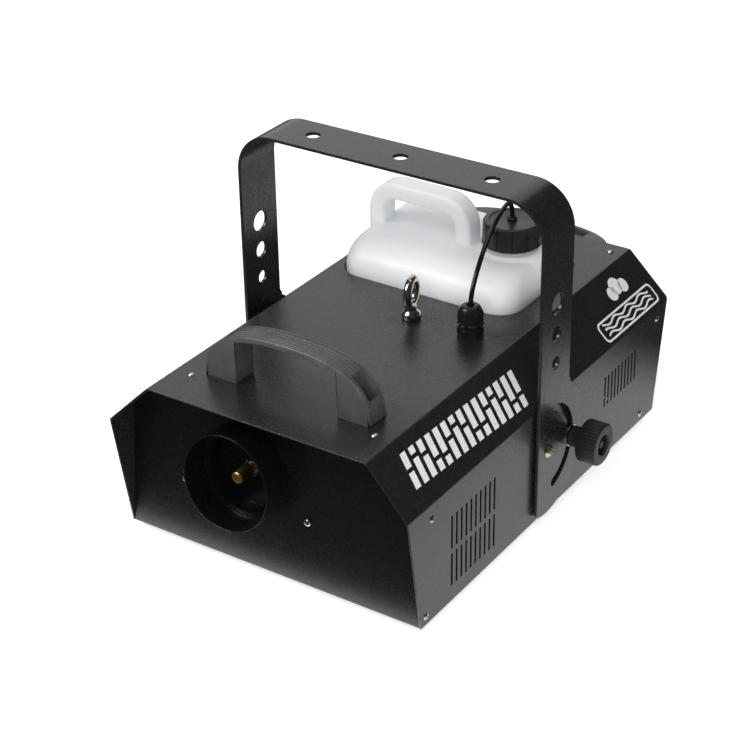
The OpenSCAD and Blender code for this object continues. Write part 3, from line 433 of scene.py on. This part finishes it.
def refined(node, width, fold_width=0.0):
    """A copy of a CAD node with its edges eased by a width in mm, and its long folds by another."""
    bm = bmesh.new()
    bm.from_mesh(frame["nodes"][node].data)
    bmesh.ops.remove_doubles(bm, verts=bm.verts, dist=MERGE)
    bmesh.ops.dissolve_limit(bm, angle_limit=math.radians(0.5), verts=bm.verts, edges=bm.edges)

    def ease(edges, offset, steps):
        bmesh.ops.bevel(bm, geom=edges, offset=offset * MM, offset_type="OFFSET", segments=steps,
                        profile=0.5, affect="EDGES", clamp_overlap=False)

    def turn(e):
        return math.degrees(e.calc_face_angle(0)) if e.is_manifold else 0

    shallow = EASE_ANGLE
    if fold_width:
        least, most = FOLD_ANGLES
        folds = [e for e in bm.edges if e.calc_length() > FOLD_LENGTH and least < turn(e) < most]
        ease(folds, fold_width, 4)
        shallow = 50
    ease([e for e in bm.edges if turn(e) > shallow], width, 2)
    obj = from_bmesh(node + "_eased", bm)
    weighted = obj.modifiers.new("weighted", "WEIGHTED_NORMAL")
    weighted.keep_sharp = True
    return dressed(obj, node_slot[node], node_body[node], node)


# How far each node's edges are eased, in mm
EASED = {
    "front_panel": 0.25, "rear_panel": 0.25, "base_pan": 0.2, "tank_well": 0.2, "nozzle_guard": 0.35,
    "nozzle_cup": 0.3, "nozzle": 0.25, "nozzle_nut": 0.3, "bracket": 0.5, "pivot_screws": 0.25,
    "cover_screws": 0.12, "panel_screws": 0.12, "handle_screws": 0.15, "foot_screws": 0.15, "feet": 0.5,
    "left_stud": 0.2, "right_stud": 0.2, "switch_frame": 0.4, "switch_rocker": 0.4, "mains_inlet": 0.5,
    "fuse_holder": 0.3, "fuse_cap": 0.3, "remote_socket": 0.3, "inlet_pins": 0.3,
}
refined("top_cover", 0.2, fold_width=1.4)
for name, width in EASED.items():
    refined(name, width)


# ---------- handles ----------

# The arch is a superellipse of this power; half of its opening, its width and its bar's height are in mm
HANDLE_POWER = 2.6
HANDLE_OPEN = 47.5
HANDLE_W = 22.6
HANDLE_BAR = 5.2
HANDLE_STEPS = 44
# The screw's pocket in each foot and the hole below it: place along the handle, size and floor, in mm
POCKET_X, POCKET_SIZE, POCKET_FLOOR = 65.5, (16, 14.5, 1.6), 6
WELL_X, WELL_R = 61, 2.1
# How far the rear panel, and the handle on it, lean from upright
REAR_LEAN = math.radians(4.8)
# Depth of the ridged top below its crest, at places across the handle from its middle, in mm
RIDGES = [
    (11.3, 1.9), (11.1, 1.0), (10.6, 0.35), (9.9, 0.0), (9.3, 0.1), (8.9, 0.6), (8.7, 1.5), (8.2, 1.5),
    (8.0, 0.7), (7.6, 0.35), (6.3, 0.3), (5.9, 0.6), (5.7, 1.1), (5.2, 1.1), (5.0, 0.6), (4.6, 0.3),
    (3.0, 0.25), (2.6, 0.5), (2.4, 1.0), (1.9, 1.0), (1.7, 0.5), (1.3, 0.25),
]


def handle_mesh(name, place, half, height):
    """An arch that stands on the placement's X-Y plane, long in X."""
    def arch(x, a, h):
        return h * max(0.0, 1 - (abs(x) / a) ** HANDLE_POWER) ** (1 / HANDLE_POWER)

    across = RIDGES + [(-y, d) for y, d in reversed(RIDGES)]
    stations = []
    turns = range(-HANDLE_STEPS, HANDLE_STEPS + 1)
    xs = [half * math.sin(math.pi / 2 * i / HANDLE_STEPS) for i in turns]
    for x in sorted(xs + [-HANDLE_OPEN, HANDLE_OPEN]):
        opening = abs(x) < HANDLE_OPEN + 1e-6
        floor = arch(x, half - HANDLE_BAR, height - HANDLE_BAR) if opening else 0
        if abs(abs(x) - HANDLE_OPEN) < 1e-6:
            stations += [(x, 0), (x, floor)] if x < 0 else [(x, floor), (x, 0)]
        else:
            stations.append((x, floor))
    loops = []
    for x, floor in stations:
        step = 0.05
        near = x - step if x > 0 else x + step
        slope = (arch(x, half, height) - arch(near, half, height)) / (x - near)
        normal = Vector((-slope, 0, 1)).normalized()
        crest = Vector((x, 0, arch(x, half, height)))
        loop = []
        for y, depth in across:
            p = crest - normal * depth
            loop.append(Vector((p.x, y, max(p.z, 0))))
        ease, edge = (0.9 if floor else 0.0), HANDLE_W / 2
        for y, drop in ((-edge, ease), (ease - edge, 0), (edge - ease, 0), (edge, ease)):
            loop.append(Vector((x, y, floor + drop)))
        loops.append([place @ (p * MM) for p in loop])
    return build(name, *loft(loops), smooth=35)


def make_handle(node, place):
    lo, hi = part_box("front_handle")
    handle = handle_mesh(node + "_ridged", place, (hi.x - lo.x) / 2 / MM, (hi.z - lo.z) / MM)
    for side in (-1, 1):
        at = place @ Matrix.Translation((side * POCKET_X * MM, 0, POCKET_FLOOR * MM))
        cut(handle, prism("pocket", in_metres(rounded_rectangle(*POCKET_SIZE)), at, 0.06))
        at = place @ Matrix.Translation((side * WELL_X * MM, 0, -MM))
        cut(handle, prism("well", in_metres(circle(WELL_R, 24)), at, 0.01))
    dressed(handle, "handle_plastic", "chassis", node)


def handle_places():
    """Each handle's node, with its foot on the panel and its crest along the placement's Z."""
    lo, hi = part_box("front_handle")
    yield "front_handle", Matrix.Translation(((lo.x + hi.x) / 2, (lo.y + hi.y) / 2, lo.z))
    lo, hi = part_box("rear_handle")
    up = Vector((0, math.sin(REAR_LEAN), math.cos(REAR_LEAN)))
    out = Vector((0, math.cos(REAR_LEAN), -math.sin(REAR_LEAN)))
    # The lower edge of the handle's foot is the box's nearest point to the panel
    foot = Vector(((lo.x + hi.x) / 2, lo.y, hi.z - HANDLE_W * MM * up.z)) + up * (HANDLE_W / 2 * MM)
    turn = Matrix((up.cross(out), up, out)).transposed().to_4x4()
    yield "rear_handle", Matrix.Translation(foot) @ turn


for name, place in handle_places():
    make_handle(name, place)


# ---------- knobs ----------

KNOB_RIBS, KNOB_RIB_DEPTH, KNOB_H = 40, 0.75, 17.5


def make_knob(node, side):
    lo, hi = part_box(node)
    face_x = hi.x if side > 0 else lo.x
    root_x = lo.x if side > 0 else hi.x
    hub = abs(face_x - root_x) / MM - KNOB_H

    def ribs(a, r, h):
        if r < 17.3 or not 0.5 < h < 17.2:
            return r
        phase = (a * KNOB_RIBS / math.tau) % 1
        return r - KNOB_RIB_DEPTH * max(0.0, math.cos(math.tau * phase)) ** 1.5

    back = [(3.05, -hub), (7.6, -hub), (8.8, -hub + 1), (8.8, -3), (9.2, -0.4), (15.8, 0), (17.4, 0.5)]
    rim = [(18.0, 1.3), (18.0, 9), (18.0, 16.0)]
    face = [(17.4, 16.9), (16.6, KNOB_H), (9.4, KNOB_H), (8.4, 16.6), (8.2, 11.2), (4.0, 10.6), (3.3, 15.6),
            (2.4, 15.9), (0.0, 15.9)]
    profile = rounded(back, 0.7) + rim + rounded(face, 0.5)
    profile = [(0, -hub), *profile]
    at = Vector((face_x - side * KNOB_H * MM, (lo.y + hi.y) / 2, (lo.z + hi.z) / 2))
    knob = lathe(node + "_ribbed", profile, at, (side, 0, 0), KNOB_RIBS * 8, ribs, smooth=38)
    dressed(knob, "knob_plastic", node_body[node], node)


make_knob("right_knob", 1)
make_knob("left_knob", -1)


# ---------- eye bolt and gland ----------

# The eye's ring, in mm, and how far it is turned from facing the machine's side
EYE_RING_R, EYE_WIRE_R = 11.5, 3.5
EYE_TURN = math.radians(14.5)


def make_eye_bolt():
    lo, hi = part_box("eye_bolt")
    centre = Vector(((lo.x + hi.x) / 2, (lo.y + hi.y) / 2, hi.z - (EYE_RING_R + EYE_WIRE_R) * MM))
    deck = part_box("top_cover")[1].z
    ring = [(EYE_RING_R + u, v) for u, v in circle(EYE_WIRE_R, 24)]
    torus = lathe("ring", ring, centre, (math.cos(EYE_TURN), math.sin(EYE_TURN), 0), 72, ring=True)
    stem = rounded([(0, -15.9), (3.2, -15.9), (4, -15), (4, 0), (8.1, 0), (8.2, 4.4), (7.4, 5.6), (5.8, 7.2),
                    (4.8, 9), (4.2, 12), (0, 12)], 0.6)
    foot = lathe("foot", stem, Vector((centre.x, centre.y, deck)), steps=48)
    eye = remeshed(join("eye_bolt_forged", torus, foot), 0.5 * MM, 4)
    dressed(eye, "eye_steel", "chassis", "eye_bolt")


def hexagon(flats):
    """Limits a turned radius to a hexagon of that width across its flats."""
    def limit(a, r, _):
        return min(r, flats / 2 / math.cos((a + math.pi / 6) % (math.pi / 3) - math.pi / 6))
    return limit


def make_gland():
    lo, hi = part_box("gland_body")
    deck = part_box("top_cover")[1].z
    at = Vector(((lo.x + hi.x) / 2, (lo.y + hi.y) / 2, deck))
    body = rounded([(4.2, -9), (7.6, -9), (7.6, 0), (10.2, 0), (11, 0.9), (11, 6.2), (10.2, 7), (8.4, 7),
                    (8.4, 9.3), (6.9, 9.4), (6.9, 17), (4.2, 17)], 0.4)
    base = lathe("gland_body_hex", body, at, steps=96, shape=hexagon(19.05), ring=True, smooth=25)
    dressed(base, "gland_nylon", "chassis", "gland_body")

    def tabs(a, r, h):
        if h < 2.2 and r > 9:
            return r if (a * 6 / math.tau) % 1 < 0.6 else r - 1.3
        return hexagon(18.4)(a, r, h) if 2.2 <= h < 12 else r

    dome = [(7, 0), (10.9, 0), (11.2, 0.4), (11.2, 1.5), (10.3, 2.1), (10.3, 2.4), (10.6, 3.0), (10.6, 10.6),
            (9.9, 11.9), (9.3, 13.2), (8.5, 14.9), (7.3, 16.1), (6.0, 16.7), (4.4, 16.9), (3.3, 16.6),
            (3.2, 15.6), (3.2, 11.7), (7, 11.7)]
    nut = lathe("gland_dome", dome, at + Vector((0, 0, 9.5 * MM)), steps=144, shape=tabs, ring=True, smooth=25)
    dressed(nut, "gland_nylon", "chassis", "gland_dome_nut")


make_eye_bolt()
make_gland()


# ---------- tank ----------

# How far the tank's shoulder draws in at the front and at its other sides, and its corners, in mm
TANK_FRONT_IN, TANK_SIDE_IN, TANK_CORNER = 32, 14, 20
TANK_TOP, TANK_SHOULDER, TANK_FOOT_R = 29, 3, 5
NECK_R, CORNER_STEPS = 21, 12
# The moulded handle: its ends along X from the tank's left side, its place along the case, and its section
BOW_ENDS, BOW_Y, BOW_BAR, BOW_DEPTH, BOW_BEND, BOW_EDGE = (2, 103), 98.5, 14.5, 22, 20, 4


def quarter_turn(steps):
    return [math.pi / 2 * i / steps for i in range(steps + 1)]


def tank_ring(lo, hi, z, front_in, side_in):
    """The tank's outline at a height, drawn in at the front and at its other sides."""
    x0, x1 = lo.x + side_in * MM, hi.x - side_in * MM
    y0, y1 = lo.y + front_in * MM, hi.y - side_in * MM
    r = TANK_CORNER * MM
    loop = []
    corners = ((x1 - r, y1 - r), (x0 + r, y1 - r), (x0 + r, y0 + r), (x1 - r, y0 + r))
    for quarter, (cx, cy) in enumerate(corners):
        for k in range(CORNER_STEPS + 1):
            a = math.pi / 2 * (quarter + k / CORNER_STEPS)
            loop.append(Vector((cx + r * math.cos(a), cy + r * math.sin(a), z)))
    return loop


def make_tank():
    lo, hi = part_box("tank")
    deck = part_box("top_cover")[1].z
    top, shoulder = deck + TANK_TOP * MM, deck + TANK_SHOULDER * MM
    loops = []
    for a in quarter_turn(5):
        inset = TANK_FOOT_R * (1 - math.sin(a))
        loops.append(tank_ring(lo, hi, lo.z + TANK_FOOT_R * MM * (1 - math.cos(a)), inset, inset))
    loops += [tank_ring(lo, hi, z, 0, 0) for z in (lo.z + 0.05, shoulder - 0.02)]
    for a in quarter_turn(16):
        inward = 1 - math.cos(a)
        z = shoulder + (top - shoulder) * math.sin(a)
        loops.append(tank_ring(lo, hi, z, TANK_FRONT_IN * inward, TANK_SIDE_IN * inward))
    shell = build("shell", *loft(loops))
    cap_lo, cap_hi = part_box("tank_cap")
    neck_at = Vector(((cap_lo.x + cap_hi.x) / 2, (cap_lo.y + cap_hi.y) / 2, top))
    neck = [(0, -8), (33, -8), (30, -2.5), (27.5, 1.2), (25.2, 3), (NECK_R, 3.4), (NECK_R, 20), (0, 20)]
    collar = lathe("collar", neck, neck_at, steps=96)
    bow_lo, bow_hi = (lo.x + end * MM for end in BOW_ENDS)
    bow_y = CASE_Y + BOW_Y * MM
    bar, r = BOW_BAR * MM, BOW_BEND * MM
    left, right, crest = bow_lo + bar / 2, bow_hi - bar / 2, hi.z - bar / 2
    route = [Vector((left, bow_y, deck + 4 * MM))]
    route += [Vector((left + r - r * math.cos(a), bow_y, crest - r + r * math.sin(a)))
              for a in quarter_turn(12)]
    route += [Vector((right - r + r * math.sin(a), bow_y, crest - r + r * math.cos(a)))
              for a in quarter_turn(12)]
    route += [Vector((right, bow_y, deck + 4 * MM))]
    section = rounded_rectangle(BOW_DEPTH * MM, bar + MM, BOW_EDGE * MM, 6)
    bow = sweep("bow", route, section, (0, 1, 0))
    tank = remeshed(join("tank_moulded", shell, collar, bow), 0.9 * MM, 4)
    dressed(tank, "tank_plastic", "tank", "tank")


CAP_RIBS = 12


def make_cap():
    lo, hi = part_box("tank_cap")
    height = (hi.z - lo.z) / MM

    def grooves(a, r, h):
        if r < 23.2 or not 1.4 < h < height - 1.2:
            return r
        phase = abs((a * CAP_RIBS / math.tau) % 1 - 0.5) * 2
        groove = max(0.0, min(1.0, (phase - 0.88) / 0.05))
        return r - 0.9 * groove - 0.25 * math.cos(math.pi * phase) ** 2

    profile = rounded([(21.4, 0), (24.6, 0), (25.5, 0.7), (25.5, 1.6)], 0.5)
    profile += [(25.1, 2.0), (25.0, 9), (24.8, height - 2.4)]
    profile += rounded([(24.6, height - 1.6), (23.8, height - 0.5), (22.4, height), (19.6, height),
                        (18.9, height - 0.8), (4.1, height - 0.6), (4.1, height - 2.6), (21.4, height - 2.6),
                        (21.4, 0)], 0.4)
    at = Vector(((lo.x + hi.x) / 2, (lo.y + hi.y) / 2, lo.z))
    cap = lathe("tank_cap_ribbed", profile, at, steps=CAP_RIBS * 32, shape=grooves, ring=True, smooth=32)
    dressed(cap, "cap_plastic", "tank_cap", "tank_cap")

    flange = Vector((at.x, at.y, at.z + height * MM))
    grommet = rounded([(0, -6), (3.7, -6), (3.7, 0.2), (4.2, 0.2), (4.2, 0.9), (3.6, 1.3), (3.0, 2.0), (2.7, 3),
                       (0, 3)], 0.35)
    boot = lathe("hose_boot_grommet", grommet, flange, steps=40)
    dressed(boot, "black_rubber", "tank", "hose_boot")


make_tank()
make_cap()


# ---------- graphics on the right chamfer ----------

CHAMFER_RUN, CHAMFER_RISE = 38 * MM, 37.5 * MM
PRINT_LIFT, PRINT_MM = 0.00002, 0.12


def chamfer_place():
    """The right chamfer: its X runs along Y, its Y up the slope from the lower fold."""
    cover_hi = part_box("top_cover")[1]
    run, height = CHAMFER_RUN, CHAMFER_RISE
    up = Vector((-run, 0, height)).normalized()
    along = Vector((0, 1, 0))
    fold = Vector((cover_hi.x, CASE_Y, cover_hi.z - height))
    out = along.cross(up)
    place = Matrix((along, up, out)).transposed().to_4x4()
    return Matrix.Translation(fold + out * PRINT_LIFT) @ place


def slanted(x0, x1, y0, y1, lean=0.28):
    return [(x0 + lean * y0, y0), (x1 + lean * y0, y0), (x1 + lean * y1, y1), (x0 + lean * y1, y1)]


def decal(name, outline):
    """A thin printed shape in mm on the chamfer."""
    return prism(name, in_metres(outline), chamfer_place(), PRINT_MM * MM)


def make_graphics():
    """A row of slanted blocks, and puffs of cloud over a framed pattern of waves."""
    parts = []
    for i in range(15):
        x0 = -186 + i * 10.9
        low, high = 15 - 0.45 * i, 43 - 0.3 * i
        gap = (low + high) / 2 + 7 * math.sin(i * 1.3)
        parts.append(decal("bar", slanted(x0, x0 + 6.6, low, gap - 1.6)))
        parts.append(decal("bar", slanted(x0, x0 + 6.6, gap + 1.6, high)))
    dressed(join("chamfer_stripes", *parts), "decal_white", "chassis")
    parts = []
    outer = [(x + 152, y + 12) for x, y in rounded_rectangle(96, 19, 5)]
    inner = [(x + 152, y + 12) for x, y in rounded_rectangle(92.4, 15.4, 3.6)]
    place = chamfer_place()
    loops = [[place @ (Vector((x, y, z)) * MM) for x, y in outline]
             for outline, z in ((outer, 0), (outer, PRINT_MM), (inner, PRINT_MM), (inner, 0))]
    parts.append(build("frame", *loft(loops, closed=True)))
    for row in range(3):
        wave = [(112 + 80 * t / 40, 7.4 + row * 4.6 + 1.5 * math.sin(t * 0.55 + row)) for t in range(41)]
        band = [(x, y - 0.9) for x, y in wave] + [(x, y + 0.9) for x, y in reversed(wave)]
        parts.append(decal("wave", band))
    for x, y, r in ((150, 33, 6.5), (159, 37, 8), (169, 33.5, 6.5)):
        parts.append(decal("puff", [(x + r * u, y + r * v) for u, v in circle(1, 32)]))
    dressed(join("chamfer_badge", *parts), "decal_white", "chassis")


make_graphics()


# ---------- CAD nodes that stay ----------

for name, node in frame["nodes"].items():
    if not node.hide_render:
        for material_slot in node.material_slots:
            material_slot.link = "OBJECT"
            material_slot.material = SURFACES[node_slot[name]].material


# ---------- floor and light ----------

def plane(name, x0, x1, y0, y1, z):
    obj = build(name, [(x0, y0, z), (x1, y0, z), (x1, y1, z), (x0, y1, z)], [(0, 1, 2, 3)])
    return obj


def glow_card(name, x0, x1, y0, y1, radiance, fade):
    """A pale card on the floor that only shows in reflections and fades out towards its edges."""
    card = plane(name, x0, x1, y0, y1, 0.001)
    card.visible_camera = card.visible_diffuse = card.visible_transmission = card.visible_shadow = False
    material = bpy.data.materials.new(name)
    material.use_nodes = True
    tree = material.node_tree
    shader = tree.nodes["Principled BSDF"]
    shader.inputs["Base Color"].default_value = (0, 0, 0, 1)
    shader.inputs["Roughness"].default_value = 1
    shader.inputs["Specular IOR Level"].default_value = 0
    shader.inputs["Emission Color"].default_value = (1, 1, 1, 1)
    split = tree.nodes.new("ShaderNodeSeparateXYZ")
    tree.links.new(tree.nodes.new("ShaderNodeTexCoord").outputs["Object"], split.inputs[0])
    total = None
    sides = (("X", x0, x0 + fade[0]), ("X", x1, x1 - fade[1]), ("Y", y0, y0 + fade[2]), ("Y", y1, y1 - fade[3]))
    for axis, edge, inner in sides:
        ramp = tree.nodes.new("ShaderNodeMapRange")
        ramp.interpolation_type = "SMOOTHSTEP"
        for key, value in {"From Min": edge, "From Max": inner, "To Min": 0.0, "To Max": 1.0}.items():
            ramp.inputs[key].default_value = value
        tree.links.new(split.outputs[axis], ramp.inputs["Value"])
        product = tree.nodes.new("ShaderNodeMath")
        product.operation = "MULTIPLY"
        tree.links.new(ramp.outputs["Result"], product.inputs[0])
        if total:
            tree.links.new(total, product.inputs[1])
        else:
            product.inputs[1].default_value = radiance
        total = product.outputs[0]
    tree.links.new(total, shader.inputs["Emission Strength"])
    card.data.materials.append(material)


LIGHTS_FACE = (0, 0, 0.1)


def area_light(name, at, size, radiance):
    data = bpy.data.lights.new(name, "AREA")
    data.shape = "RECTANGLE"
    data.size, data.size_y = size
    data.energy = radiance * math.pi * size[0] * size[1]
    light = bpy.data.objects.new(name, data)
    direction = Vector(LIGHTS_FACE) - Vector(at)
    light.matrix_world = Matrix.Translation(at) @ direction.to_track_quat("-Z", "Y").to_matrix().to_4x4()
    bpy.context.scene.collection.objects.link(light)
    return light


def make_stage():
    floor = plane("floor", -9, 9, -9, 9, 0)
    glow = {"Emission Color": (1, 1, 1, 1), "Emission Strength": 0.6}
    paper = Surface("floor_paper", (0.88, 0.88, 0.88), 0.9, **glow)
    floor.data.materials.append(paper.mottle(3, 0.01).material)
    floor.visible_glossy = False
    glow_card("card_right", 0.135, 0.33, CASE_Y - 0.35, CASE_Y + 0.33, 0.95, (0.001, 0.09, 0.05, 0.12))
    glow_card("card_front", -0.40, 0.16, CASE_Y - 0.235, CASE_Y - 0.19, 3.4, (0.16, 0.02, 0.042, 0.001))

    world = bpy.data.worlds.new("studio")
    world.use_nodes = True
    world.node_tree.nodes["Background"].inputs["Color"].default_value = (1, 1, 1, 1)
    world.node_tree.nodes["Background"].inputs["Strength"].default_value = 0.05
    bpy.context.scene.world = world
    bpy.context.scene.view_settings.view_transform = "Standard"

    area_light("overhead", (0.0, 0.1, 1.5), (1.0, 1.0), 1.4)
    area_light("back_left", (-0.95, 1.35, 0.95), (1.9, 1.4), 0.85)
    area_light("key", (-0.9, -0.95, 1.45), (0.9, 0.9), 7.0)
    # Soft fill for the pale tank, which shows in none of the glossy surfaces
    fill = area_light("fill", (1.1, -1.6, 1.3), (2.0, 2.0), 3.2)
    fill.visible_glossy = False


make_stage()
